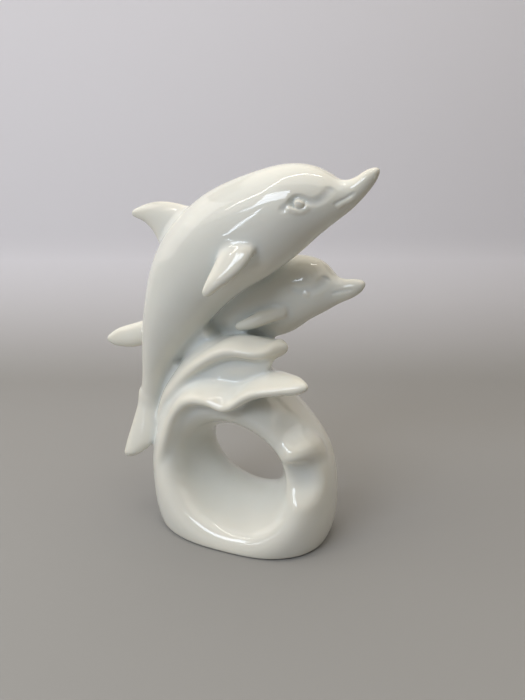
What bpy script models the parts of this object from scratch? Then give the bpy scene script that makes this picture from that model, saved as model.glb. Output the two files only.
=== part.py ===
"""Two dolphins leaping side by side over a curling wave: a glazed figurine cast in one piece.

Metres, +Z up. The dolphins leap towards +X, the front of the figurine faces -Y, and the origin is in
the middle of the foot, on the surface that it stands on.

The figurine is a free form. Its pose is drawn in millimetres, for a figurine of DRAWN_HEIGHT, and all of
it grows with FIGURE_HEIGHT. Every fin, body and crest is a loft: rings that span two rails, such as back
and belly, with a half thickness across them. The lofts are fused, the window is cut, and the foot is
cut flat.
"""

import bmesh
import bpy
import numpy as np

# Driving dimensions, in metres
FIGURE_HEIGHT = 0.296
FOOT_LENGTH = 0.152
FOOT_DEPTH = 0.109
WINDOW_LENGTH = 0.0755
WINDOW_HEIGHT = 0.0505
EYE_WIDTH = 0.0095

# What the stations below are drawn for, in millimetres
DRAWN_HEIGHT = 296.0
DRAWN_FOOT_LENGTH = 152.0
DRAWN_FOOT_DEPTH = 109.0

# Metres to one drawn millimetre, and what the wave is stretched by to stand on its own foot
SCALE = FIGURE_HEIGHT / DRAWN_HEIGHT
STRETCH_X = FOOT_LENGTH / (DRAWN_FOOT_LENGTH * SCALE)
STRETCH_Y = FOOT_DEPTH / (DRAWN_FOOT_DEPTH * SCALE)

# Fineness of the lofts and of the skin that fuses them
RING_POINTS = 40
RINGS_PER_STATION = 6
ROUNDING_RINGS = 5
EYE_SEGMENTS = 24
GRAIN = 1.8 * SCALE
SMOOTHING_PASSES = 5
POLISHING_PASSES = 2
SMOOTHING_FACTOR = 0.5
KEPT_FACES_RATIO = 0.058

# The wave's rings are a little square, and the window's long axis slopes down to the right
WAVE_RING_EXPONENT = 2.35
WINDOW_SLOPE = np.radians(18)


def spline(rows, at, read_at):
    """Natural cubic spline through rows placed at the parameters at, read at read_at."""
    count = len(rows)
    step = np.diff(at)
    slope = np.diff(rows, axis=0) / step[:, None]
    matrix = np.eye(count)
    right = np.zeros_like(rows)
    for k in range(1, count - 1):
        matrix[k, k - 1:k + 2] = step[k - 1], 2 * (step[k - 1] + step[k]), step[k]
        right[k] = 6 * (slope[k] - slope[k - 1])
    bend = np.linalg.solve(matrix, right)
    k = np.clip(np.searchsorted(at, read_at, side="right") - 1, 0, count - 2)
    h = step[k][:, None]
    ahead = (at[k + 1] - read_at)[:, None]
    behind = (read_at - at[k])[:, None]
    curved = (bend[k] * ahead**3 + bend[k + 1] * behind**3) / (6 * h)
    curved += (rows[k] / h - bend[k] * h / 6) * ahead
    return curved + (rows[k + 1] / h - bend[k + 1] * h / 6) * behind


def ends(length):
    """Ring places and sizes of a rounded end: a quarter ellipse as long as the share given."""
    if length == 0:
        return np.zeros(0), np.zeros(0)
    angle = np.linspace(0, np.pi / 2, ROUNDING_RINGS + 2)[1:-1]
    return length * (1 - np.cos(angle)), np.sin(angle)


def add_loft(bm, stations, nose=0.04, tail=0.06, exponent=2.0):
    """Adds one closed loft to bm. A station is a point on the first rail, a point on the second rail
    and the half thickness across them. A ring is a superellipse on those axes, and nose and tail are
    the shares of the length over which the two ends are rounded off; 0 leaves a flat end."""
    rows = np.array(stations, float)
    middle = (rows[:, 0:3] + rows[:, 3:6]) / 2
    run = np.linalg.norm(np.diff(middle, axis=0), axis=1)
    at = np.concatenate([[0], np.cumsum(run)]) / run.sum()

    near_place, near_size = ends(nose)
    far_place, far_size = ends(tail)
    body_place = np.linspace(nose, 1 - tail, RINGS_PER_STATION * len(rows))
    place = np.concatenate([near_place, body_place, 1 - far_place[::-1]])
    size = np.concatenate([near_size, np.ones(len(body_place)), far_size[::-1]])

    read = spline(rows, at, place)
    beside = 0.001
    ahead = spline(rows, at, np.clip(place + beside, 0, 1))
    back = spline(rows, at, np.clip(place - beside, 0, 1))
    along = (ahead - back)[:, 0:3] + (ahead - back)[:, 3:6]
    reach = (read[:, 0:3] - read[:, 3:6]) / 2
    across = np.cross(along, reach)
    across *= (read[:, 6] / np.linalg.norm(across, axis=1))[:, None]
    centre = (read[:, 0:3] + read[:, 3:6]) / 2

    angle = np.linspace(0, 2 * np.pi, RING_POINTS, endpoint=False)
    cosine = np.sign(np.cos(angle)) * np.abs(np.cos(angle)) ** (2 / exponent)
    sine = np.sign(np.sin(angle)) * np.abs(np.sin(angle)) ** (2 / exponent)
    spread = cosine[None, :, None] * reach[:, None] + sine[None, :, None] * across[:, None]
    rings = centre[:, None] + size[:, None, None] * spread
    tips = spline(rows, at, np.array([0.0, 1.0]))
    tips = (tips[:, 0:3] + tips[:, 3:6]) / 2

    made = [[bm.verts.new(point * SCALE) for point in ring] for ring in rings]
    first = bm.verts.new(tips[0] * SCALE)
    last = bm.verts.new(tips[1] * SCALE)
    for j in range(RING_POINTS):
        k = (j + 1) % RING_POINTS
        bm.faces.new((first, made[0][k], made[0][j]))
        bm.faces.new((last, made[-1][j], made[-1][k]))
        for ring, following in zip(made, made[1:]):
            bm.faces.new((ring[j], ring[k], following[k], following[j]))


def mirrored(stations, about=0.0):
    """The same stations on the other side of the upright plane y = about."""
    return [(ax, 2 * about - ay, az, bx, 2 * about - by, bz, t) for ax, ay, az, bx, by, bz, t in stations]


def on_foot(stations):
    """Stations of the wave, stretched along X and Y to the foot's own length and depth."""
    stretched = []
    for ax, ay, az, bx, by, bz, t in stations:
        stretched.append((ax * STRETCH_X, ay * STRETCH_Y, az, bx * STRETCH_X, by * STRETCH_Y, bz, t))
    return stretched


def new_object(name, bm):
    """Closes bm's faces outwards and puts them in an object of their own."""
    bmesh.ops.recalc_face_normals(bm, faces=bm.faces[:])
    mesh = bpy.data.meshes.new(name)
    bm.to_mesh(mesh)
    bm.free()
    made = bpy.data.objects.new(name, mesh)
    bpy.context.scene.collection.objects.link(made)
    return made


def add_wave(bm):
    """The wave: a swelling drum that narrows to a neck, with two crests folding over at the front,
    two plainer ones behind, and a wavelet on the front of the right shoulder."""
    # left side x, right side x, height, half depth
    drum = (
        (-73, 72, -7, 52.0),
        (-76, 76, 0, 54.5),
        (-80.5, 80.5, 14, 57.0),
        (-83, 82, 34, 58.0),
        (-83.5, 80.5, 58, 56.5),
        (-80, 74, 80, 53.0),
        (-75, 62, 98, 48.5),
        (-68, 47, 114, 43.0),
        (-60, 33, 131, 37.0),
        (-52, 33, 146, 31.0),
        (-44, 38, 158, 27.0),
        (-38, 39, 168, 22.0),
    )
    stations = [(left, 0, z, right, 0, z, STRETCH_Y * deep) for left, right, z, deep in drum]
    add_loft(bm, on_foot(stations), nose=0, exponent=WAVE_RING_EXPONENT)

    # Each crest runs from low on the left to its tip: front edge, back edge, half thickness
    lower_crest = (
        (-64, -36, 46, -72, -12, 62, 5.0),
        (-49, -46, 84, -54, -12, 111, 7.5),
        (-27, -51, 117, -25, -12, 127.5, 8.5),
        (-3, -52.5, 119, 4, -12, 137, 8.0),
        (14, -52, 118.5, 26, -13, 142.5, 6.5),
        (34, -50, 129.5, 44, -16, 145, 7.5),
        (58, -46.5, 135, 61, -27, 145, 6.5),
        (72, -43.5, 142, 71, -38, 144.5, 4.5),
    )
    upper_crest = (
        (-70, -26, 86, -72, -4, 100, 5.0),
        (-48, -36, 122, -50, -4, 134, 7.5),
        (-24, -41, 144, -24, -4, 154, 8.0),
        (3, -42, 158, 3, -4, 164, 8.0),
        (28, -40, 159, 28, -4, 164, 7.5),
        (42, -28, 163.5, 42, -6, 164.5, 6.5),
        (46.5, -20, 166, 46, -12, 165.5, 5.5),
    )
    # Under the upper crest's edge: top edge, bottom edge, half thickness
    upper_wall = (
        (-58, -24, 112, -58, -20, 96, 6.0),
        (-38, -30, 134, -38, -22, 118, 7.0),
        (-12, -33, 150, -10, -24, 126, 8.0),
        (10, -33, 156, 10, -24, 130, 8.0),
        (43, -23, 163, 33, -20, 138, 8.0),
    )
    lower_back_crest = (
        (-56, 40, 70, -60, 16, 96, 6.0),
        (-46, 45, 98, -48, 12, 118, 7.0),
        (-26, 46, 116, -24, 10, 130, 7.5),
        (-4, 42, 124, -2, 10, 137, 7.0),
        (14, 34, 129, 12, 14, 139, 4.0),
    )
    upper_back_crest = (
        (-70, 28, 92, -72, 6, 108, 5.0),
        (-58, 36, 118, -60, 4, 130, 7.0),
        (-38, 38, 138, -38, 4, 148, 8.0),
        (-12, 37, 150, -12, 4, 160, 8.0),
        (8, 30, 156, 8, 4, 164, 5.0),
    )
    wavelet = (
        (57.5, -37, 84.5, 59, -41, 79, 4.0),
        (59, -31, 90, 61.5, -36, 82, 6.5),
        (63, -24, 91, 66, -29, 82.5, 7.0),
        (67, -15, 90, 70, -20, 82, 6.0),
        (71, 2, 80.5, 73, -1, 75, 3.5),
    )
    for crest in (lower_crest, upper_crest, upper_wall, lower_back_crest, upper_back_crest, wavelet):
        add_loft(bm, on_foot(crest))


def add_high_dolphin(bm):
    """The dolphin in front: head up and to the right, tail hanging down the left side of the wave."""
    # back x, back z, belly x, belly z, half width, from the tip of the beak to the tail stock
    body = (
        (111.5, 290.5, 110.5, 285, 2.8),
        (104.5, 289.8, 107.5, 280, 5.5),
        (95.5, 285.2, 100, 271, 7.5),
        (86, 283.7, 92, 263.5, 10.0),
        (79, 287.5, 83, 257, 15.0),
        (68, 293, 71.5, 248.5, 20.0),
        (52, 296, 57, 236.5, 25.0),
        (26, 293, 33, 219, 28.0),
        (-8, 283, 14, 208.5, 29.5),
        (-38, 265, -8, 193, 30.0),
        (-62, 238, -27, 174.5, 28.0),
        (-74.5, 205, -46, 155.5, 23.0),
        (-82, 170, -62, 136.5, 16.5),
        (-86, 140, -70, 119, 11.0),
        (-90, 116, -76, 104, 8.0),
        (-94, 102, -82, 95, 6.5),
    )
    y = -20
    add_loft(bm, [(ax, y, az, bx, y, bz, t) for ax, az, bx, bz, t in body], nose=0.01, tail=0.03)

    # Fins from root to tip: leading edge, trailing edge, half thickness
    dorsal_fin = (
        (-28, y, 267, -62, y, 234, 8.0),
        (-46, y, 272, -69, y, 248, 6.5),
        (-68, y, 274, -79, y, 258, 4.5),
        (-92, y, 268, -92, y, 263, 2.0),
    )
    near_flipper = (
        (12, -36, 249, 33, -37, 243, 4.5),
        (8, -43, 241, 32.5, -46, 236, 5.5),
        (4.5, -48, 231, 28.5, -50.5, 227.5, 5.0),
        (1, -52, 221, 20, -53.5, 218.5, 4.5),
        (-4, -57, 205, 1, -57.5, 204, 3.0),
    )
    far_flipper = (
        (22, -2, 252, 30, 0, 238, 5.0),
        (12, 9, 247, 22, 8, 234, 6.0),
        (-6, 19, 240, 4, 20, 228, 5.0),
        (-20, 26, 229, -14, 27, 224, 3.0),
    )
    fluke = (
        (-90, -19, 118, -77, -17, 110, 6.0),
        (-93, -25, 100, -74, -23, 96, 6.5),
        (-96, -30, 84, -71, -28, 82, 6.5),
        (-99.5, -34, 69, -74, -32, 71, 6.0),
        (-102, -37, 55, -88, -36, 57.5, 4.5),
    )
    add_loft(bm, dorsal_fin, nose=0)
    add_loft(bm, near_flipper, tail=0.1)
    add_loft(bm, far_flipper, tail=0.1)
    add_loft(bm, fluke, tail=0.1)
    add_loft(bm, mirrored(fluke, y), tail=0.1)
    add_eyes(bm, (63, 18.5, 267.5), y)


def add_low_dolphin(bm):
    """The dolphin behind, lower and a little smaller, its belly lying on the upper crest."""
    # back x, back z, belly x, belly z, y, half width, from the tip of the beak to the tail stock
    body = (
        (95.5, 213, 94.5, 208, 21, 2.8),
        (89.5, 214.5, 91.5, 204.5, 21, 5.2),
        (80, 214.5, 84, 199.3, 21, 6.8),
        (72, 217, 74, 194.5, 21, 9.5),
        (66, 223.5, 65, 189, 21, 14),
        (56, 230, 52, 181.5, 20, 18.5),
        (41, 232.5, 38, 171.5, 20, 22.0),
        (16, 230.5, 14, 163, 19, 25.0),
        (-12, 224, -14, 157, 18, 26.0),
        (-40, 213, -42, 152, 16, 24.0),
        (-66, 197, -66, 149, 14, 18.5),
        (-86, 180, -84, 149, 12, 12.5),
        (-100, 171, -97, 152, 9, 8.5),
        (-110, 167, -108, 154, 6, 6.0),
    )
    add_loft(bm, [(ax, y, az, bx, y, bz, t) for ax, az, bx, bz, y, t in body], nose=0.012, tail=0.03)
    head_y = 20

    # Fins from root to tip: leading edge, trailing edge, half thickness
    dorsal_fin = (
        (4, 17, 224, -28, 17, 214, 6.0),
        (-10, 17, 238, -34, 17, 226, 5.0),
        (-26, 17, 247, -40, 17, 237, 3.5),
        (-43, 17, 245, -46, 17, 241, 1.5),
    )
    flipper = (
        (37, 2, 193, 37, 2, 184, 4.5),
        (29, -2.5, 192, 29, -2.5, 181, 5.5),
        (19, -7, 189, 20, -7, 177, 6.0),
        (9, -10.5, 184, 10, -10.5, 174, 5.5),
        (-1, -13.5, 178.5, 0, -13.5, 173.5, 3.5),
    )
    near_fluke = (
        (-96, 10, 175, -92, 8, 149, 5.0),
        (-105, 5, 172, -104, 3, 149, 6.0),
        (-116, 3, 168.5, -115, 1, 146.5, 6.0),
        (-130, 1, 164, -128, 0, 146, 5.0),
        (-145, -1, 154, -144, -2, 151, 2.5),
    )
    far_fluke = (
        (-94, 10, 174, -92, 14, 150, 5.0),
        (-100, 20, 171, -98, 22, 150, 6.0),
        (-107, 32, 166, -104, 35, 149, 5.5),
        (-114, 45, 159, -110, 47, 149, 4.5),
        (-121, 57, 153, -119, 57, 150, 2.5),
    )
    add_loft(bm, dorsal_fin, nose=0)
    add_loft(bm, flipper, tail=0.07)
    add_loft(bm, mirrored(flipper, head_y), tail=0.07)
    add_loft(bm, near_fluke)
    add_loft(bm, far_fluke)
    add_eyes(bm, (53, 16, 203), head_y)


def add_seams(bm):
    """Clay pressed between the two dolphins, and between them and the wave, where they lie together."""
    low_seam = (
        (-74, -4, 152, -66, -2, 140, 7.0),
        (-60, -10, 160, -50, -8, 144, 9.0),
        (-44, -12, 172, -34, -10, 154, 10.0),
        (-28, -12, 182, -18, -12, 164, 8.0),
    )
    high_seam = (
        (-44, 10, 222, -40, 10, 208, 5.0),
        (-28, 13, 228, -24, 13, 212, 6.0),
        (-4, 12, 239, -2, 12, 222, 7.0),
        (12, 10, 241, 14, 10, 226, 7.0),
        (26, 6, 240, 26, 6, 228, 5.0),
    )
    tail_seam = (
        (-86, -12, 96, -72, -12, 92, 5.0),
        (-78, -13, 112, -66, -13, 106, 6.0),
        (-72, -14, 132, -56, -14, 124, 6.0),
        (-64, -14, 148, -50, -14, 140, 6.0),
    )
    for seam in (low_seam, high_seam, tail_seam):
        add_loft(bm, seam)


def add_eyes(bm, place, about):
    """A pair of domed eyes, sunk in the cheeks at either side of the body's own plane."""
    x, out, z = place
    for side in (-1, 1):
        made = bmesh.ops.create_uvsphere(
            bm, u_segments=EYE_SEGMENTS, v_segments=EYE_SEGMENTS // 2, radius=EYE_WIDTH / 2)
        offset = (x * SCALE, (about + side * out) * SCALE, z * SCALE)
        bmesh.ops.translate(bm, verts=made["verts"], vec=offset)


def make_window_cutter():
    """The hollow of the curl: a bowl scooped from the front, a window through, and a bowl behind.
    The rings stand upright, one after another from front to back, and each is longer than high. The
    ring that adds nothing to the window's own length and height is its narrowest place."""
    # place from front to back, middle x, middle height, added half length, added half height
    rings = (
        (-72, 10.0, 60.5, 21.0, 21.5),
        (-54, 8.5, 61.0, 17.0, 19.0),
        (-38, 6.5, 61.5, 13.0, 16.0),
        (-22, 4.5, 62.0, 7.0, 9.5),
        (-4, 2.0, 63.0, 0.0, 0.0),
        (10, 1.5, 63.0, 0.5, 0.0),
        (28, 0.0, 61.5, 7.5, 6.0),
        (46, -1.5, 59.0, 17.0, 15.0),
        (66, -2.0, 58.0, 26.5, 22.0),
    )
    stations = []
    for y, x, z, longer, higher in rings:
        half_length = WINDOW_LENGTH / SCALE / 2 + longer
        run = half_length * np.cos(WINDOW_SLOPE)
        rise = half_length * np.sin(WINDOW_SLOPE)
        half_height = WINDOW_HEIGHT / SCALE / 2 + higher
        stations.append((x - run, STRETCH_Y * y, z + rise, x + run, STRETCH_Y * y, z - rise, half_height))
    bm = bmesh.new()
    add_loft(bm, stations, nose=0, tail=0)
    cutter = new_object("window_cutter", bm)
    cutter.display_type = "WIRE"
    cutter.hide_render = True
    return cutter


def make_floor_cutter():
    """A block under the foot, whose top face makes the underside flat."""
    bm = bmesh.new()
    bmesh.ops.create_cube(bm, size=2 * FIGURE_HEIGHT)
    bmesh.ops.translate(bm, verts=bm.verts[:], vec=(0, 0, -FIGURE_HEIGHT))
    cutter = new_object("floor_cutter", bm)
    cutter.display_type = "WIRE"
    cutter.hide_render = True
    return cutter


def make_glaze():
    """Clear gloss glaze on a warm white body."""
    glaze = bpy.data.materials.new("white_glaze")
    glaze.use_nodes = True
    shader = glaze.node_tree.nodes["Principled BSDF"]
    shader.inputs["Base Color"].default_value = (0.76, 0.75, 0.71, 1)
    shader.inputs["Roughness"].default_value = 0.08
    shader.inputs["Metallic"].default_value = 0
    return glaze


def make_figurine():
    """All the lofts in one object, fused and softened by its modifiers."""
    bm = bmesh.new()
    add_wave(bm)
    add_high_dolphin(bm)
    add_low_dolphin(bm)
    add_seams(bm)
    figurine = new_object("dolphins_on_wave", bm)
    figurine.data.materials.append(make_glaze())

    fuse = figurine.modifiers.new("fuse", "REMESH")
    fuse.mode = "VOXEL"
    fuse.voxel_size = GRAIN

    hollow = figurine.modifiers.new("hollow", "BOOLEAN")
    hollow.operation = "DIFFERENCE"
    hollow.object = make_window_cutter()

    soften = figurine.modifiers.new("soften", "SMOOTH")
    soften.factor = SMOOTHING_FACTOR
    soften.iterations = SMOOTHING_PASSES

    heal = figurine.modifiers.new("heal", "REMESH")
    heal.mode = "VOXEL"
    heal.voxel_size = GRAIN

    polish = figurine.modifiers.new("polish", "SMOOTH")
    polish.factor = SMOOTHING_FACTOR
    polish.iterations = POLISHING_PASSES

    thin_out = figurine.modifiers.new("thin_out", "DECIMATE")
    thin_out.ratio = KEPT_FACES_RATIO

    stand = figurine.modifiers.new("stand", "BOOLEAN")
    stand.operation = "DIFFERENCE"
    stand.object = make_floor_cutter()
    return figurine


for old in list(bpy.data.objects):
    bpy.data.objects.remove(old, do_unlink=True)
make_figurine()
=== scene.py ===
"""Two dolphins leaping side by side over a curling wave: one slip-cast porcelain ornament, glazed white.

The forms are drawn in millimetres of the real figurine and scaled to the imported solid. Every body, fin
and crest is a loft worked out by numpy. All of them are run together as one casting, in a block of
signed distances, so that they meet in soft corners as thick glaze leaves them."""

import bpy
import numpy as np
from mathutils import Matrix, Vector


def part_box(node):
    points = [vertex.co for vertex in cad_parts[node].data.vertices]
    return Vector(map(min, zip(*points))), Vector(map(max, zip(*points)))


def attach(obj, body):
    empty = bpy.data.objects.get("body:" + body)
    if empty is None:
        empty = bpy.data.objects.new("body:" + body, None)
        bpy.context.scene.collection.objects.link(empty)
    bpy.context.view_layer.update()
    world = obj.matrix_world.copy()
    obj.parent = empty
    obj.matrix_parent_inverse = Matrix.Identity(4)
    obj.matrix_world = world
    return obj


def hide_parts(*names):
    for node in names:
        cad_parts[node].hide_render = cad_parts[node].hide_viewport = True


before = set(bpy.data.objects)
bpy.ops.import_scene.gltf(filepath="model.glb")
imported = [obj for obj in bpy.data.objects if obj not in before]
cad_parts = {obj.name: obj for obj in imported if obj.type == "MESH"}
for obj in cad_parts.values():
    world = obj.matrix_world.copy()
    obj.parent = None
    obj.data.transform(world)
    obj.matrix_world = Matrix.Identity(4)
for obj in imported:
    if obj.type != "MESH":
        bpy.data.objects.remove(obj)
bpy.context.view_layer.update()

import openvdb
from mathutils import Euler, Vector

# The camera of the photograph: a phone held 41 cm from the figurine's middle, at five sixths of its
# height, turned 25 degrees to its front and tipped down. The lens is given for a 36 mm tall frame.
EYE_POINT = (0.18565, -0.36063, 0.245)
TURN = np.radians(25)
TIP_DOWN = np.radians(12.6)
FOCAL_PIXELS = 499
FRAME_PIXELS = 700
FRAME_HEIGHT_MM = 36
NEAREST_SEEN = 0.01

phone = bpy.data.cameras.new("camera")
phone.sensor_fit = "VERTICAL"
phone.sensor_height = FRAME_HEIGHT_MM
phone.lens = FRAME_HEIGHT_MM * FOCAL_PIXELS / FRAME_PIXELS
phone.clip_start = NEAREST_SEEN
camera = bpy.data.objects.new("camera", phone)
camera.location = EYE_POINT
camera.rotation_euler = Euler((np.pi / 2 - TIP_DOWN, 0, TURN))
bpy.context.scene.collection.objects.link(camera)
bpy.context.scene.camera = camera
bpy.context.scene.view_settings.view_transform = "Standard"

# The wave: a swelling drum of clay that narrows to a neck, hollowed by a bowl that opens into a window.
# Two crests fold over above the bowl, and a wavelet curls on its right shoulder. Slip-cast in one
# plaster mould with the dolphins, so its edges are soft.
SOLID = "dolphins_on_wave"
DRAWN_HEIGHT = 296.0
MM = float(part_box(SOLID)[1][2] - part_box(SOLID)[0][2]) / DRAWN_HEIGHT

# The block of signed distances, in mm: its step, how far from a skin it still tells the distance, and
# its two far corners
STEP = 0.75
BAND = 22.0
BLOCK_LOW = np.array([-152, -66, -8])
BLOCK_HIGH = np.array([120, 66, 304])
BLOCK_COUNTS = np.ceil((BLOCK_HIGH - BLOCK_LOW) / STEP).astype(int)


def spline(rows, at, read_at):
    """Natural cubic spline through rows placed at the parameters at: the bends, or second derivatives,
    solve one tridiagonal system, and are 0 at both ends."""
    step = np.diff(at)
    slope = np.diff(rows, axis=0) / step[:, None]
    inner = np.arange(1, len(rows) - 1)
    matrix = np.eye(len(rows))
    matrix[inner, inner - 1] = step[:-1]
    matrix[inner, inner] = 2 * (step[:-1] + step[1:])
    matrix[inner, inner + 1] = step[1:]
    right = np.zeros_like(rows)
    right[inner] = 6 * np.diff(slope, axis=0)
    bend = np.linalg.solve(matrix, right)
    k = np.clip(np.searchsorted(at, read_at, side="right") - 1, 0, len(rows) - 2)
    h = step[k][:, None]
    ahead = (at[k + 1] - read_at)[:, None]
    behind = (read_at - at[k])[:, None]
    curved = (bend[k] * ahead**3 + bend[k + 1] * behind**3) / (6 * h)
    curved += (rows[k] / h - bend[k] * h / 6) * ahead
    return curved + (rows[k + 1] / h - bend[k + 1] * h / 6) * behind


def loft(stations, nose=0.04, tail=0.06, exponent=2.0, along=160, around=120):
    """A closed skin as a grid of rings. A station is a point on the first rail, a point on the second
    and a half thickness t. A ring is the superellipse centre + c|c|^(2/e-1) half span + s|s|^(2/e-1) t,
    with c and s the cosine and sine round it. Over the shares nose and tail of the length the rings
    shrink along a quarter ellipse; 0 leaves a flat end."""
    rows = np.array(stations, float)
    middle = (rows[:, 0:3] + rows[:, 3:6]) / 2
    run = np.linalg.norm(np.diff(middle, axis=0), axis=1)
    at = np.concatenate([[0], np.cumsum(run)]) / run.sum()
    quarter = np.linspace(0, np.pi / 2, along // 8)
    near = nose * (1 - np.cos(quarter))
    far = 1 - tail * (1 - np.cos(quarter[::-1]))
    place = np.concatenate([near, np.linspace(nose, 1 - tail, along), far])
    size = np.concatenate([np.sin(quarter), np.ones(along), np.sin(quarter[::-1])])
    read = spline(rows, at, place)
    a_little = 0.001
    ahead = spline(rows, at, np.clip(place + a_little, 0, 1))
    back = spline(rows, at, np.clip(place - a_little, 0, 1))
    course = (ahead - back)[:, 0:3] + (ahead - back)[:, 3:6]
    reach = (read[:, 0:3] - read[:, 3:6]) / 2
    across = np.cross(course, reach)
    across *= (read[:, 6] / np.linalg.norm(across, axis=1))[:, None]
    centre = (read[:, 0:3] + read[:, 3:6]) / 2
    angle = np.linspace(0, 2 * np.pi, around, endpoint=False)
    cosine = np.sign(np.cos(angle)) * np.abs(np.cos(angle)) ** (2 / exponent)
    sine = np.sign(np.sin(angle)) * np.abs(np.sin(angle)) ** (2 / exponent)
    offset = cosine[None, :, None] * reach[:, None] + sine[None, :, None] * across[:, None]
    return centre[:, None] + size[:, None, None] * offset


def bead(centre, radii, rings=40, around=60):
    """An ellipsoid as a grid of rings: centre + (a sin d cos r, b sin d sin r, c cos d), with d from 0 at
    the top to pi at the bottom, r round it, and a, b and c the radii."""
    down = np.linspace(0, np.pi, rings)[:, None]
    angle = np.linspace(0, 2 * np.pi, around, endpoint=False)[None, :]
    x = radii[0] * np.sin(down) * np.cos(angle)
    y = radii[1] * np.sin(down) * np.sin(angle)
    z = radii[2] * np.cos(down) * np.ones_like(angle)
    return np.stack([x, y, z], axis=-1) + np.array(centre, float)


def mirrored(stations, about):
    """The same stations on the other side of the upright plane y = about."""
    rows = np.array(stations, float)
    rows[:, (1, 4)] = 2 * about - rows[:, (1, 4)]
    return rows


def empty_block():
    """The block of space round the figurine, with every signed distance at its outer limit."""
    return np.full(BLOCK_COUNTS, BAND, np.float32)


def distances(skin):
    """Signed distances from a skin's quads, negative inside, and the part of the block they fill."""
    rings, around = skin.shape[:2]
    here = np.arange(rings - 1)[:, None] * around + np.arange(around)
    beside = np.arange(rings - 1)[:, None] * around + (np.arange(around) + 1) % around
    quads = np.stack([here, beside, beside + around, here + around], axis=-1).reshape(-1, 4)
    points = (skin.reshape(-1, 3) - BLOCK_LOW) / STEP
    level = openvdb.FloatGrid.createLevelSetFromPolygons(
        points.astype(np.float32), quads=quads.astype(np.uint32),
        transform=openvdb.createLinearTransform(voxelSize=1.0), halfWidth=BAND / STEP)
    low, high = level.evalActiveVoxelBoundingBox()
    low = np.maximum(np.array(low), 0)
    high = np.minimum(np.array(high) + 1, BLOCK_COUNTS)
    filled = np.empty(tuple(high - low), np.float32)
    level.copyToArray(filled, ijk=tuple(int(n) for n in low))
    return filled * STEP, tuple(slice(int(a), int(b)) for a, b in zip(low, high))


def smooth_lower(a, b, blend):
    """The lower of two distances, less (blend - |a - b|)^2 / (4 blend) where they differ by less."""
    return np.minimum(a, b) - np.maximum(blend - np.abs(a - b), 0) ** 2 / (4 * blend)


def add(block, skin, blend):
    """Joins a skin to what the block holds, with a soft corner about blend mm wide."""
    near, part = distances(skin)
    block[part] = smooth_lower(block[part], near, blend)


def carve(block, skin, blend):
    """Takes a skin out of what the block holds, with a rounded edge about blend mm wide."""
    near, part = distances(skin)
    block[part] = -smooth_lower(-block[part], near, blend)


# from under the foot to the neck: left side x, right side x, height, half depth
drum = (
    (-73, 72, -7, 52.0),
    (-76, 76, 0, 54.5),
    (-80.5, 80.5, 14, 57.0),
    (-83, 82, 34, 58.0),
    (-83.5, 80.5, 58, 56.5),
    (-80, 74, 80, 53.0),
    (-75, 62, 98, 48.5),
    (-68, 47, 114, 43.0),
    (-60, 29, 131, 37.0),
    (-52, 19, 146, 31.0),
    (-44, 25, 158, 27.0),
    (-38, 36, 168, 22.0),
)
# front to back: first rail's x and height, place, second rail's x and height, half height
bowl = (
    (-46, 78, -72, 66, 43, 47),
    (-44, 77, -54, 61, 45, 44.5),
    (-42, 76.5, -38, 55, 46, 41.5),
    (-38.5, 76, -22, 47, 48, 35),
    (-34, 75, -4, 38, 51, 25.5),
    (-35, 75, 10, 38, 51, 25),
    (-43, 75, 28, 43, 48, 31),
    (-54, 74, 46, 51, 44, 40),
    (-64, 74, 66, 60, 42, 47),
)
# from low on the left to the tip: front edge, back edge, half thickness
lower_crest = (
    (-64, -36, 46, -72, -12, 62, 5.0),
    (-57, -42, 64, -66, -14, 88, 6.0),
    (-49, -46, 84, -54, -12, 111, 7.5),
    (-40, -49, 104, -40, -12, 121, 8.0),
    (-27, -51, 118.5, -25, -12, 128, 8.5),
    (-14, -52, 122, -9, -12, 133, 8.0),
    (-3, -52.5, 121, 4, -12, 137, 7.5),
    (6, -52.5, 118.5, 16, -12, 140, 7.0),
    (14, -52, 121, 26, -13, 142, 6.5),
    (23, -51, 128, 35, -14, 143, 6.5),
    (34, -50, 133.5, 44, -16, 143.5, 6.5),
    (46, -48.5, 136, 53, -21, 143.5, 6.0),
    (58, -46.5, 138, 61, -27, 144, 5.5),
    (66, -46, 139, 67, -33, 144.5, 5.2),
    (71.5, -46, 139.8, 72.5, -36, 144.8, 4.8),
)
upper_crest = (
    (-70, -26, 86, -72, -4, 100, 5.0),
    (-58, -33, 112, -60, -4, 124, 6.5),
    (-48, -36, 122, -50, -4, 134, 7.5),
    (-37, -39, 133, -37, -4, 145, 8.0),
    (-24, -41, 144, -24, -4, 154, 8.0),
    (-10, -42, 154, -10, -4, 160, 8.0),
    (3, -42, 160, 3, -4, 164, 8.0),
    (16, -42, 161.5, 16, -4, 165, 7.5),
    (28, -40, 160.5, 28, -4, 164, 7.0),
    (36, -36, 161.5, 36, -4, 164, 6.5),
    (42, -28, 163.5, 42, -6, 164.5, 6.5),
    (46.5, -20, 166, 46, -12, 165.5, 5.5),
)
lower_back_crest = (
    (-56, 40, 70, -60, 16, 96, 6.0),
    (-46, 45, 98, -48, 12, 118, 7.0),
    (-26, 46, 116, -24, 10, 130, 7.5),
    (-4, 42, 124, -2, 10, 137, 7.0),
    (14, 34, 129, 12, 14, 139, 4.0),
)
upper_back_crest = (
    (-70, 28, 92, -72, 6, 108, 5.0),
    (-58, 36, 118, -60, 4, 130, 7.0),
    (-38, 38, 138, -38, 4, 148, 8.0),
    (-12, 37, 150, -12, 4, 160, 8.0),
    (8, 30, 156, 8, 4, 164, 5.0),
)
# under the upper crest's edge: top edge, bottom edge, half thickness
upper_wall = (
    (-58, -21, 112, -58, -18, 96, 6.0),
    (-38, -26, 134, -38, -20, 118, 7.0),
    (-12, -29, 150, -10, -22, 126, 8.0),
    (10, -29, 156, 10, -22, 130, 8.0),
    (26, -28, 158, 18, -22, 132, 7.5),
    (42, -23, 163, 25, -19, 136, 7.5),
)
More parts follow.
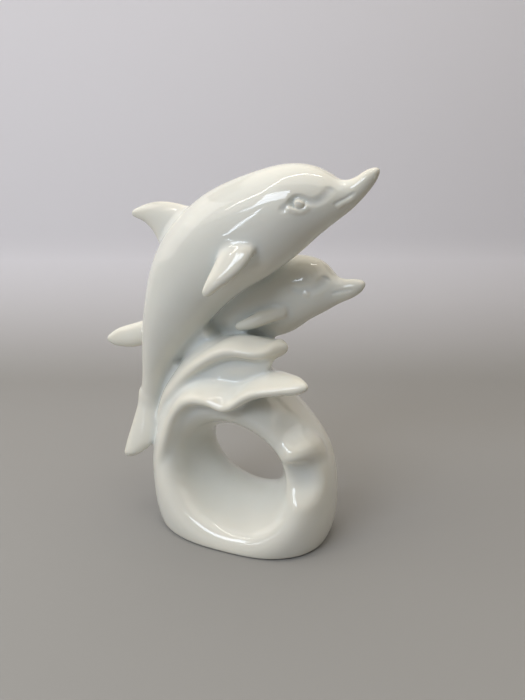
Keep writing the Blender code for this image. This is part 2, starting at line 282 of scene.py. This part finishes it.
# from the window's rim round to the right side: front edge, back edge, half thickness
wavelet = (
    (52, -33, 79, 50, -20, 82, 4.0),
    (56, -35, 82, 52, -17, 87.5, 5.5),
    (62, -33.5, 84.5, 57, -12, 89.5, 6.8),
    (67.5, -28, 84.5, 61.5, -8, 89, 6.8),
    (71, -19, 81.5, 65.5, -4, 86, 5.5),
    (73, -9.5, 76.5, 69, 0, 79.5, 3.5),
)

# the hollow of the right shoulder, and the one under the wavelet: middle, radii
shoulder_hollow = ((74, -33, 116), (24, 24, 23))
wavelet_hollow = ((75, -46, 66), (26, 25, 18))

# How wide each corner stays soft, in mm. The first form in a block meets nothing, so its own is small.
MEETS_NOTHING = 1.0
BOWL_ROUNDING = 22.0
SHOULDER_ROUNDING = 13.0
CREST_BLEND = 6.0
WALL_BLEND = 5.0
HOLLOW_ROUNDING = 10.0
WAVELET_BLEND = 9.0
DRUM_SQUARENESS = 2.35

drum_skin = loft([(left, 0, z, right, 0, z, deep) for left, right, z, deep in drum],
                 nose=0, exponent=DRUM_SQUARENESS)
bowl_skin = loft([(ax, y, az, bx, y, bz, high) for ax, az, y, bx, bz, high in bowl], nose=0, tail=0)
wave = empty_block()
add(wave, drum_skin, MEETS_NOTHING)
carve(wave, bowl_skin, BOWL_ROUNDING)
carve(wave, bead(*shoulder_hollow), SHOULDER_ROUNDING)
for crest in (lower_crest, upper_crest, lower_back_crest, upper_back_crest):
    add(wave, loft(crest), CREST_BLEND)
add(wave, loft(upper_wall), WALL_BLEND)
carve(wave, bead(*wavelet_hollow), HOLLOW_ROUNDING)
add(wave, loft(wavelet, nose=0.2, tail=0.3), WAVELET_BLEND)

# The higher dolphin, at the front: a round body with beak, dorsal fin, flippers and flukes, of the same
# porcelain and cast in one with the wave. Its far side is the near one's match, with a plainer flipper.
HIGH_Y = -20
# back x, back z, belly x, belly z, half width, from the tip of the beak to the tail stock
high_body = (
    (111.5, 290.5, 110.5, 285, 2.8),
    (104.5, 289.8, 107.5, 280, 5.5),
    (95.5, 285.2, 100, 271, 7.5),
    (86, 283.7, 92, 263.5, 10.0),
    (79, 287.5, 83, 257, 15.0),
    (68, 293, 71.5, 248.5, 20.0),
    (52, 296, 57, 236.5, 25.0),
    (26, 293, 33, 219, 28.0),
    (-8, 283, 14, 208.5, 29.5),
    (-38, 265, -8, 193, 30.0),
    (-62, 238, -27, 174.5, 28.0),
    (-74.5, 205, -46, 155.5, 23.0),
    (-82, 170, -62, 136.5, 16.5),
    (-86, 140, -70, 119, 11.0),
    (-90, 116, -76, 104, 8.0),
    (-94, 102, -82, 95, 6.5),
)
# root to tip: leading edge, trailing edge, half thickness
high_dorsal_fin = (
    (-28, HIGH_Y, 267, -62, HIGH_Y, 234, 8.0),
    (-46, HIGH_Y, 272, -69, HIGH_Y, 248, 6.5),
    (-68, HIGH_Y, 274, -79, HIGH_Y, 258, 4.5),
    (-92, HIGH_Y, 268, -92, HIGH_Y, 263, 2.0),
)
high_near_flipper = (
    (12, -36, 249, 33, -37, 243, 4.0),
    (8, -43, 241, 32.5, -46, 236, 5.0),
    (4.5, -48, 231, 28.5, -50.5, 227.5, 4.5),
    (1, -52, 221, 20, -53.5, 218.5, 4.2),
    (-2.5, -55.5, 211, 9, -56, 210, 3.8),
    (-4, -57, 205, 1, -57.5, 204, 2.5),
)
high_far_flipper = (
    (22, -2, 252, 30, 0, 238, 5.0),
    (12, 9, 247, 22, 8, 234, 6.0),
    (-6, 19, 240, 4, 20, 228, 5.0),
    (-20, 26, 229, -14, 27, 224, 3.0),
)
high_fluke = (
    (-90, -19, 118, -77, -17, 110, 6.0),
    (-93, -25, 100, -74, -23, 96, 6.5),
    (-96, -30, 84, -71, -28, 82, 6.5),
    (-99.5, -34, 69, -74, -32, 71, 6.0),
    (-102, -37, 55, -88, -36, 57.5, 4.5),
)

# How wide the corner between a fin and the body stays soft, in mm
DORSAL_BLEND = 6.0
FLUKE_BLEND = 5.0
FAR_FLIPPER_BLEND = 4.0
HIGH_FLIPPER_BLEND = 3.0
FLIPPER_SQUARENESS = 2.4

high_trunk = loft([(ax, HIGH_Y, az, bx, HIGH_Y, bz, wide) for ax, az, bx, bz, wide in high_body],
                  nose=0.01, tail=0.03, along=320)
high_dolphin = empty_block()
add(high_dolphin, high_trunk, MEETS_NOTHING)
add(high_dolphin, loft(high_dorsal_fin, nose=0), DORSAL_BLEND)
add(high_dolphin, loft(high_near_flipper, tail=0.08, exponent=FLIPPER_SQUARENESS), HIGH_FLIPPER_BLEND)
add(high_dolphin, loft(high_far_flipper, tail=0.1), FAR_FLIPPER_BLEND)
add(high_dolphin, loft(high_fluke, tail=0.1), FLUKE_BLEND)
add(high_dolphin, loft(mirrored(high_fluke, HIGH_Y), tail=0.1), FLUKE_BLEND)

# The lower dolphin, behind: the same round form a little smaller, cast in one with the rest. Its belly
# lies on the upper crest and its flank against the higher dolphin. From the front only its head, its near
# flipper and one fluke show.
LOW_HEAD_Y = 20
# back x, back z, belly x, belly z, y, half width, from the tip of the beak to the tail stock
low_body = (
    (95.5, 213, 94.5, 208, 21, 2.8),
    (89.5, 214.5, 91.5, 204.5, 21, 5.2),
    (80, 214.5, 84, 199.3, 21, 6.8),
    (72, 217, 74, 194.5, 21, 9.5),
    (66, 223.5, 65, 189, 21, 14),
    (56, 230, 52, 181.5, 20, 18.5),
    (41, 232.5, 38, 171.5, 20, 22.0),
    (16, 230.5, 14, 163, 19, 25.0),
    (-12, 224, -14, 157, 18, 26.0),
    (-40, 213, -42, 152, 16, 24.0),
    (-66, 197, -66, 149, 14, 18.5),
    (-86, 180, -84, 149, 12, 12.5),
    (-100, 171, -97, 152, 9, 8.5),
    (-110, 167, -108, 154, 6, 6.0),
)
low_dorsal_fin = (
    (4, 17, 224, -28, 17, 214, 6.0),
    (-10, 17, 238, -34, 17, 226, 5.0),
    (-26, 17, 247, -40, 17, 237, 3.5),
    (-43, 17, 245, -46, 17, 241, 1.5),
)
low_flipper = (
    (37, 2, 193, 37, 2, 184, 4.5),
    (29, -2.5, 192, 29, -2.5, 181, 5.5),
    (19, -7, 189, 20, -7, 177, 6.0),
    (9, -10.5, 184, 10, -10.5, 174, 5.5),
    (-1, -13.5, 178.5, 0, -13.5, 173.5, 3.5),
)
low_near_fluke = (
    (-96, 10, 175, -92, 8, 149, 5.0),
    (-105, 5, 172, -104, 3, 149, 6.0),
    (-116, 3, 168.5, -115, 1, 146.5, 6.0),
    (-130, 1, 164, -128, 0, 146, 5.0),
    (-139, 0, 159, -138, -1, 147.5, 4.0),
    (-145, -1, 154, -144, -2, 151, 2.5),
)
low_far_fluke = (
    (-94, 10, 174, -92, 14, 150, 5.0),
    (-100, 20, 171, -98, 22, 150, 6.0),
    (-107, 32, 166, -104, 35, 149, 5.5),
    (-114, 45, 159, -110, 47, 149, 4.5),
    (-121, 57, 153, -119, 57, 150, 2.5),
)

LOW_FLIPPER_BLEND = 4.5

low_trunk = loft([(ax, y, az, bx, y, bz, wide) for ax, az, bx, bz, y, wide in low_body],
                 nose=0.012, tail=0.03, along=320)
low_dolphin = empty_block()
add(low_dolphin, low_trunk, MEETS_NOTHING)
add(low_dolphin, loft(low_dorsal_fin, nose=0), DORSAL_BLEND)
add(low_dolphin, loft(low_flipper, tail=0.07), LOW_FLIPPER_BLEND)
add(low_dolphin, loft(mirrored(low_flipper, LOW_HEAD_Y), tail=0.07), FAR_FLIPPER_BLEND)
add(low_dolphin, loft(low_near_fluke), FLUKE_BLEND)
add(low_dolphin, loft(low_far_fluke), FLUKE_BLEND)

# The casting: dolphins and wave run together in the mould, with clay pressed into the gaps where they
# lie together, the foot cut flat, and every edge softened by the glaze over it.
SEAM_BLEND = 4.0
GLAZE_SOFTENING = 0.8
POOL_REACH = 3.0
FOOT_ROUNDING = 3.0
MOST_TRIANGLES = 190000
# the clay seams, along the gaps where two forms lie together: upper edge, lower edge, half thickness
low_seam = (
    (-74, -4, 152, -66, -2, 140, 7.0),
    (-60, -10, 160, -50, -8, 144, 9.0),
    (-44, -12, 172, -34, -10, 154, 10.0),
    (-28, -12, 182, -18, -12, 164, 8.0),
)
high_seam = (
    (-44, 10, 222, -40, 10, 208, 5.0),
    (-28, 13, 228, -24, 13, 212, 6.0),
    (-4, 12, 239, -2, 12, 222, 7.0),
    (12, 10, 241, 14, 10, 226, 7.0),
    (26, 6, 240, 26, 6, 228, 5.0),
)
tail_seam = (
    (-86, -12, 96, -72, -12, 92, 5.0),
    (-78, -13, 112, -66, -13, 106, 6.0),
    (-72, -14, 132, -56, -14, 124, 6.0),
    (-64, -14, 148, -50, -14, 140, 6.0),
)


def blurred(block, width):
    """The block averaged along each axis in turn with the Gaussian weights exp(-0.5 (d / width)^2), where
    d is the distance in mm. They are cut off at 2.5 widths."""
    reach = int(np.ceil(2.5 * width / STEP))
    weights = np.exp(-0.5 * (np.arange(-reach, reach + 1) * STEP / width) ** 2)
    weights /= weights.sum()
    for axis in range(3):
        wide = np.pad(block, [(reach, reach) if axis == k else (0, 0) for k in range(3)], mode="edge")
        wide = np.moveaxis(wide, axis, 0)
        total = sum(np.float32(w) * wide[k:k + block.shape[axis]] for k, w in enumerate(weights))
        block = np.moveaxis(total, 0, axis)
    return np.ascontiguousarray(block)


def sampled(block, points):
    """The block read between its eight nearest places, each weighted by how near it is."""
    place = (points / MM - BLOCK_LOW) / STEP
    base = np.clip(np.floor(place).astype(int), 0, np.array(block.shape) - 2)
    part = place - base
    value = 0.0
    for corner in np.ndindex(2, 2, 2):
        weight = np.prod(np.where(corner, part, 1 - part), axis=1)
        value = value + weight * block[tuple((base + corner).T)]
    return value


def slope_of(block, points):
    """The unit direction in which the distance grows fastest, from differences half a step each way."""
    away = np.empty_like(points)
    for axis in range(3):
        beside = np.zeros(3)
        beside[axis] = STEP * MM / 2
        away[:, axis] = sampled(block, points + beside) - sampled(block, points - beside)
    return away / np.linalg.norm(away, axis=1)[:, None]


casting = smooth_lower(wave, low_dolphin, SEAM_BLEND)
casting = smooth_lower(casting, high_dolphin, SEAM_BLEND)
for seam in (low_seam, high_seam, tail_seam):
    add(casting, loft(seam), SEAM_BLEND)
casting = blurred(casting, GLAZE_SOFTENING)

# The faces: cut in the model before moulding, the same on both cheeks. An eye like a bead under a heavy
# upper lid, the melon's lower border running from it to the beak, a lower lid and the line of the mouth.
# The lower face is worn down to soft relief.

# a line of a face: x, height, radius of the tool, depth of its cut or rise of its ridge
high_brow = (
    (50, 262, 3.0, 0.1),
    (53.4, 263.6, 3.0, 0.7),
    (56.4, 266, 2.4, 1.1),
    (58.6, 268.9, 1.8, 1.6),
    (60.6, 270.8, 1.8, 1.6),
    (63.2, 271.4, 1.8, 1.5),
    (66, 270.6, 2.0, 1.4),
    (69, 269.2, 2.5, 1.3),
    (72, 268.4, 3.0, 1.1),
    (75.2, 268.5, 4.0, 1.0),
    (78.6, 269.8, 5.0, 0.9),
    (81.6, 272.3, 6.0, 0.6),
    (83.6, 275.2, 6.0, 0.2),
    (85, 278.5, 6.0, -0.4),
)
high_lower_lid = (
    (55.5, 264.6, 2.0, 0.0),
    (59, 263.2, 2.0, 0.3),
    (62.6, 262.4, 2.0, 0.45),
    (66, 263.2, 2.0, 0.4),
    (69, 266, 2.0, 0.1),
)
high_mouth = (
    (84.2, 266.4, 0.9, 0.2),
    (86.6, 268, 0.9, 0.7),
    (88.9, 269.4, 0.9, 0.8),
    (91.3, 270.7, 0.9, 0.7),
    (93.8, 272.3, 0.9, 0.5),
    (97, 274.3, 0.9, 0.1),
)
high_lower_lip = (
    (85.6, 265.2, 1.6, 0.1),
    (87.6, 266.7, 1.6, 0.3),
    (90, 268.1, 1.6, 0.3),
    (92.6, 269.6, 1.6, 0.2),
    (95.5, 271.4, 1.6, 0.1),
)
low_brow = (
    (42.5, 209, 3.0, 0.2),
    (46, 206.8, 4.0, 0.5),
    (50, 205.9, 5.0, 0.7),
    (54.2, 205.7, 6.0, 0.8),
    (59.9, 206.6, 7.0, 0.8),
    (65.2, 209.2, 7.0, 0.6),
    (68.5, 212.4, 6.5, 0.1),
    (70.2, 215.6, 6.0, -0.6),
)
low_mouth = (
    (71.5, 203, 1.0, 0.1),
    (75, 204.6, 1.0, 0.4),
    (80, 205.8, 1.0, 0.4),
    (86, 206.8, 1.0, 0.1),
)

# an eye or its socket: x and height where the skin is read, x and height of the middle, how far that
# stands out of the skin, and the radii
high_socket = (63.3, 267.4, 63.2, 267.7, 1.4, (6.5, 5.0, 5.3))
high_eye = (63.3, 267.4, 63.2, 268.3, -1.5, (4.1, 2.9, 4.0))
low_eye = (53.2, 203.2, 53.2, 203.2, -2.4, (3.4, 2.8, 3.0))

# How wide the edges that the tools leave stay soft, in mm
EYE_EDGE = 0.4
SOCKET_EDGE = 0.8
MOUTH_EDGE = 1.0
SOFT_EDGE = 1.5
LOW_BROW_EDGE = 2.0


def skin_place(block, x, z, side):
    """The y of the skin at each x and z, seen from the side -1 or 1: where the distances along y first
    turn negative, read in a straight line between the two places."""
    column = block[np.round((x - BLOCK_LOW[0]) / STEP).astype(int), :,
                   np.round((z - BLOCK_LOW[2]) / STEP).astype(int)]
    if side > 0:
        column = column[:, ::-1]
    inside = np.argmax(column < 0, axis=1)
    row = np.arange(len(x))
    outer = column[row, inside - 1]
    place = inside - 1 + outer / (outer - column[row, inside])
    y = BLOCK_LOW[1] + STEP * place
    return y if side < 0 else 2 * BLOCK_LOW[1] + STEP * (block.shape[1] - 1) - y


def line_on(block, path, side, way):
    """A tube beside the block's skin, through places given by x, height, radius and depth. It reaches
    depth mm into the skin where way is 1, to cut a groove, and depth mm out of it where way is -1."""
    x, z, radius, depth = np.array(path, float).T
    y = skin_place(block, x, z, side) + side * way * (radius - depth)
    stations = np.stack([x, y - radius, z, x, y + radius, z, radius], axis=1)
    return loft(stations, nose=0.1, tail=0.1, around=40)


def bead_on(block, eye, side):
    """An eye or a socket, given as above, beside the block's skin on the side -1 or 1."""
    read_x, read_z, x, z, stands_out, radii = eye
    skin_y = skin_place(block, np.array([read_x]), np.array([read_z]), side)[0]
    return bead((x, float(skin_y) + side * stands_out, z), radii)


CUT = 1
RIDGE = -1
clay = casting.copy()
for side in (-1, 1):
    carve(casting, bead_on(clay, high_socket, side), SOCKET_EDGE)
    add(casting, bead_on(clay, high_eye, side), EYE_EDGE)
    carve(casting, line_on(clay, high_brow, side, CUT), SOFT_EDGE)
    add(casting, line_on(clay, high_lower_lid, side, RIDGE), SOFT_EDGE)
    carve(casting, line_on(clay, high_mouth, side, CUT), MOUTH_EDGE)
    add(casting, line_on(clay, high_lower_lip, side, RIDGE), SOFT_EDGE)
    carve(casting, line_on(clay, low_brow, side, CUT), LOW_BROW_EDGE)
    add(casting, bead_on(clay, low_eye, side), SOFT_EDGE)
    carve(casting, line_on(clay, low_mouth, side, CUT), SOFT_EDGE)

# The foot, cut flat at height 0
height = BLOCK_LOW[2] + STEP * np.arange(casting.shape[2], dtype=np.float32)
casting = -smooth_lower(-casting, height[None, None, :], FOOT_ROUNDING)

# The skin of the casting, where the distance is 0, thinned to what one piece may hold. Its normals come
# from the distances themselves, so the glaze stays smooth across the thinned faces.
level = openvdb.FloatGrid()
level.background = BAND
level.copyFromArray(casting)
points, triangles, quads = level.convertToPolygons(isovalue=0, adaptivity=0)
points = (points * STEP + BLOCK_LOW) * MM

raw_skin = bpy.data.meshes.new("raw_skin")
raw_skin.from_pydata(points.tolist(), [], quads.tolist() + triangles.tolist())
raw_casting = bpy.data.objects.new("raw_casting", raw_skin)
bpy.context.scene.collection.objects.link(raw_casting)
thin_out = raw_casting.modifiers.new("thin_out", "DECIMATE")
thin_out.ratio = min(1.0, MOST_TRIANGLES / (2 * len(quads) + len(triangles)))
thinned = raw_casting.evaluated_get(bpy.context.evaluated_depsgraph_get())
skin = bpy.data.meshes.new_from_object(thinned)
bpy.data.objects.remove(raw_casting, do_unlink=True)
bpy.data.meshes.remove(raw_skin)

corners = np.empty(3 * len(skin.vertices))
skin.vertices.foreach_get("co", corners)
corners = corners.reshape(-1, 3)
skin.shade_smooth()
skin.normals_split_custom_set_from_vertices(slope_of(casting, corners))
hollow = sampled(casting, corners) - sampled(blurred(casting, POOL_REACH), corners)
glaze_depth = skin.attributes.new("glaze_depth", "FLOAT", "POINT")
glaze_depth.data.foreach_set("value", hollow.astype(np.float32))

figurine = bpy.data.objects.new("porcelain_dolphins", skin)
bpy.context.scene.collection.objects.link(figurine)
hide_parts(SOLID)
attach(figurine, "root")

# The glaze: a clear gloss glaze, dipped, over a warm white porcelain body. It runs thin and creamy on
# the edges and pools a little cooler in the hollows. The wiped foot is bare, matt biscuit.
EDGE_CREAM = "#edeadd"
BODY_WHITE = "#ebebe3"
POOLED_WHITE = "#e5e8e3"
BISCUIT_WHITE = "#dcd6ca"
SPECK_BROWN = "#6f675c"
SMEAR_GREY = "#e4e1d8"
# the depth or height of a hollow or an edge, in mm, that takes the whole change of colour
GLAZE_DEPTH_MM = 0.5
# in mm: slow waves in the glaze's skin, cloudy patches, iron specks one to a cell, and the wiped foot
WOBBLE_LENGTH_MM = 17
WOBBLE_DEPTH_MM = 0.16
CLOUD_LENGTH_MM = 45
SPECK_CELL_MM = 14
SPECK_RADIUS_MM = 0.3
BARE_HEIGHT_MM = 0.6
MM_IN_METRE = 1000
# how much of their colour the patches and the specks take at most
CLOUD_SHARE = 0.5
SPECK_SHARE = 0.8
# the values of the noise between which a patch comes in, and between which the gloss gets duller
CLOUD_FADES = (0.45, 0.75)
GLOSS_FADES = (0.4, 0.7)
# roughness: of the glaze on the whole, at its glossiest and its dullest, and of bare biscuit
GLAZE_ROUGHNESS = 0.06
GLOSSIEST = 0.03
DULLEST = 0.065
BISCUIT_ROUGHNESS = 0.75
# the Mix node's sockets for colours, by number because their names repeat: share, low, high, result
SHARE, LOW, HIGH, RESULT = 0, 6, 7, 2


def linear(code):
    """Linear RGBA of an sRGB hex colour: c / 12.92 up to 0.04045, else ((c + 0.055) / 1.055)^2.4."""
    c = np.array([int(code[k:k + 2], 16) for k in (1, 3, 5)]) / 255
    return (*np.where(c <= 0.04045, c / 12.92, ((c + 0.055) / 1.055) ** 2.4), 1.0)


def add_node(tree, kind, inputs, **settings):
    """Adds a node. An input given as another node's socket is linked to it, and any other is set."""
    made = tree.nodes.new(kind)
    for name, value in settings.items():
        setattr(made, name, value)
    for name, value in inputs.items():
        if isinstance(value, bpy.types.NodeSocket):
            tree.links.new(value, made.inputs[name])
        else:
            made.inputs[name].default_value = value
    return made


def new_material(name, roughness):
    """A material with its tree, its shader and its Object coordinates."""
    material = bpy.data.materials.new(name)
    material.use_nodes = True
    shader = material.node_tree.nodes["Principled BSDF"]
    shader.inputs["Roughness"].default_value = roughness
    place = add_node(material.node_tree, "ShaderNodeTexCoord", {}).outputs["Object"]
    return material, material.node_tree, shader, place


# Bright mirror highlights over a soft white body that lets a little light in, with a slow wobble in
# them. Slow patches in the glaze are a little greyer and duller.
glaze, tree, shader, place = new_material("gloss_glazed_porcelain", GLAZE_ROUGHNESS)
depth = add_node(tree, "ShaderNodeAttribute", {}, attribute_name="glaze_depth").outputs["Fac"]
thin = add_node(tree, "ShaderNodeMapRange", {"Value": depth, "From Max": -GLAZE_DEPTH_MM})
creamy = add_node(tree, "ShaderNodeMix", {
    SHARE: thin.outputs["Result"], LOW: linear(BODY_WHITE), HIGH: linear(EDGE_CREAM)}, data_type="RGBA")
thick = add_node(tree, "ShaderNodeMapRange", {"Value": depth, "From Max": GLAZE_DEPTH_MM})
pooled = add_node(tree, "ShaderNodeMix", {
    SHARE: thick.outputs["Result"], LOW: creamy.outputs[RESULT], HIGH: linear(POOLED_WHITE)},
    data_type="RGBA")
noise = add_node(tree, "ShaderNodeTexNoise", {
    "Vector": place, "Scale": MM_IN_METRE / CLOUD_LENGTH_MM, "Detail": 2.0})
patch = add_node(tree, "ShaderNodeMapRange", {
    "Value": noise.outputs["Fac"], "From Min": CLOUD_FADES[0], "From Max": CLOUD_FADES[1],
    "To Max": CLOUD_SHARE})
clouded = add_node(tree, "ShaderNodeMix", {
    SHARE: patch.outputs["Result"], LOW: pooled.outputs[RESULT], HIGH: linear(SMEAR_GREY)},
    data_type="RGBA")
cell = add_node(tree, "ShaderNodeTexVoronoi", {"Vector": place, "Scale": MM_IN_METRE / SPECK_CELL_MM})
speck = add_node(tree, "ShaderNodeMapRange", {
    "Value": cell.outputs["Distance"], "From Min": SPECK_RADIUS_MM / SPECK_CELL_MM, "From Max": 0,
    "To Max": SPECK_SHARE})
specked = add_node(tree, "ShaderNodeMix", {
    SHARE: speck.outputs["Result"], LOW: clouded.outputs[RESULT], HIGH: linear(SPECK_BROWN)},
    data_type="RGBA")
above = add_node(tree, "ShaderNodeSeparateXYZ", {"Vector": place}).outputs["Z"]
bare = add_node(tree, "ShaderNodeMapRange", {
    "Value": above, "From Min": BARE_HEIGHT_MM / MM_IN_METRE,
    "From Max": 0.7 * BARE_HEIGHT_MM / MM_IN_METRE})
wiped = add_node(tree, "ShaderNodeMix", {
    SHARE: bare.outputs["Result"], LOW: specked.outputs[RESULT], HIGH: linear(BISCUIT_WHITE)},
    data_type="RGBA")
tree.links.new(wiped.outputs[RESULT], shader.inputs["Base Color"])
gloss = add_node(tree, "ShaderNodeMapRange", {
    "Value": noise.outputs["Fac"], "From Min": GLOSS_FADES[0], "From Max": GLOSS_FADES[1],
    "To Min": GLOSSIEST, "To Max": DULLEST})
roughness = add_node(tree, "ShaderNodeMath", {
    0: bare.outputs["Result"], 1: BISCUIT_ROUGHNESS, 2: gloss.outputs["Result"]}, operation="MULTIPLY_ADD")
tree.links.new(roughness.outputs["Value"], shader.inputs["Roughness"])
wobble = add_node(tree, "ShaderNodeTexNoise", {
    "Vector": place, "Scale": MM_IN_METRE / WOBBLE_LENGTH_MM, "Detail": 1.0})
bump = add_node(tree, "ShaderNodeBump", {
    "Height": wobble.outputs["Fac"], "Distance": WOBBLE_DEPTH_MM / MM_IN_METRE})
tree.links.new(bump.outputs["Normal"], shader.inputs["Normal"])
shader.inputs["IOR"].default_value = 1.52
shader.inputs["Subsurface Weight"].default_value = 0.15
shader.inputs["Subsurface Scale"].default_value = 0.002
shader.inputs["Subsurface Radius"].default_value = (1.0, 0.85, 0.7)
skin.materials.clear()
skin.materials.append(glaze)

# The studio: a plain pale sweep of grey paper, paler still as it curves up behind. Wide warm diffusers
# light it from above and from the left. One bare tube, a cool window behind the camera and a slit beside
# it give the glaze its highlights.
FLOOR_GREY = "#999896"
BACK_GREY = "#ecebf2"
ROOM_WHITE = "#d9d8e0"
ROOM_STRENGTH = 0.02


def area_light(name, place, size, power, colour, aim=None, turn=None):
    """A rectangle of light at place, in metres and watts, facing aim or turned by the angles of turn."""
    lamp = bpy.data.lights.new(name, "AREA")
    lamp.shape = "RECTANGLE"
    lamp.size, lamp.size_y = size
    lamp.energy = power
    lamp.color = linear(colour)[:3]
    made = bpy.data.objects.new(name, lamp)
    made.location = place
    made.rotation_euler = turn or (Vector(place) - Vector(aim)).to_track_quat("Z", "Y").to_euler()
    bpy.context.scene.collection.objects.link(made)


area_light("ceiling_diffuser", (0.5, 0.0, 1.7), size=(3.2, 2.4), power=30, colour="#fff7ea",
           aim=(0.5, 0, 0))
area_light("corner_diffuser", (-1.6, -1.5, 1.7), size=(2.2, 2.2), power=14, colour="#fff6e8",
           aim=(-1.6, -1.5, 0))
area_light("bare_tube", (-0.5, -0.72, 1.5), size=(0.035, 2.5), power=4.5, colour="#fffaf2",
           turn=(0, 0, -np.pi / 4))
area_light("window", (-0.27, -1.24, 0.95), size=(0.74, 0.38), power=7.5, colour="#e4efff",
           aim=(0.04, -0.05, 0.27))
area_light("window_slit", (-0.46, -1.24, 0.4), size=(0.04, 0.4), power=0.5, colour="#e8f2ff",
           aim=(0.02, -0.05, 0.25))
area_light("left_diffuser", (-1.7, -0.4, 1.1), size=(1.6, 1.2), power=8, colour="#fffaf2",
           aim=(0, 0, 0.15))

# The sweep, in metres: flat from FRONT to BEND_START, a quarter turn, then straight up to TOP. It is
# square to the camera, and gets paler over the first FADE of its height.
FRONT = -1.6
BEND_START = 0.42
BEND_RADIUS = 0.25
TOP = 1.05
HALF_WIDTH = 2.2
FADE = 0.2
BEND_STEPS = 24
PAPER_ROUGHNESS = 0.9
angle = np.linspace(0, np.pi / 2, BEND_STEPS)
back = np.concatenate([[FRONT], BEND_START + BEND_RADIUS * np.sin(angle), [BEND_START + BEND_RADIUS]])
up = np.concatenate([[0], BEND_RADIUS * (1 - np.cos(angle)), [TOP]])
edges = []
for across in (-HALF_WIDTH, HALF_WIDTH):
    x = across * np.cos(TURN) - back * np.sin(TURN)
    y = across * np.sin(TURN) + back * np.cos(TURN)
    edges.append(np.stack([x, y, up], axis=1))
strip = np.stack(edges, axis=1).reshape(-1, 3)
k = 2 * np.arange(len(back) - 1)
sweep = bpy.data.meshes.new("paper_sweep")
sweep.from_pydata(strip.tolist(), [], np.stack([k, k + 1, k + 3, k + 2], axis=-1).tolist())
sweep.shade_smooth()
floor = bpy.data.objects.new("paper_sweep", sweep)
bpy.context.scene.collection.objects.link(floor)

# Dull paper, without any shine
paper, tree, shader, place = new_material("matt_paper", PAPER_ROUGHNESS)
above = add_node(tree, "ShaderNodeSeparateXYZ", {"Vector": place}).outputs["Z"]
paler = add_node(tree, "ShaderNodeMapRange", {"Value": above, "From Max": FADE})
shade = add_node(tree, "ShaderNodeMix", {
    SHARE: paler.outputs["Result"], LOW: linear(FLOOR_GREY), HIGH: linear(BACK_GREY)}, data_type="RGBA")
tree.links.new(shade.outputs[RESULT], shader.inputs["Base Color"])
sweep.materials.append(paper)

room = bpy.data.worlds.new("room_light")
room.use_nodes = True
room.node_tree.nodes["Background"].inputs["Color"].default_value = linear(ROOM_WHITE)
room.node_tree.nodes["Background"].inputs["Strength"].default_value = ROOM_STRENGTH
bpy.context.scene.world = room
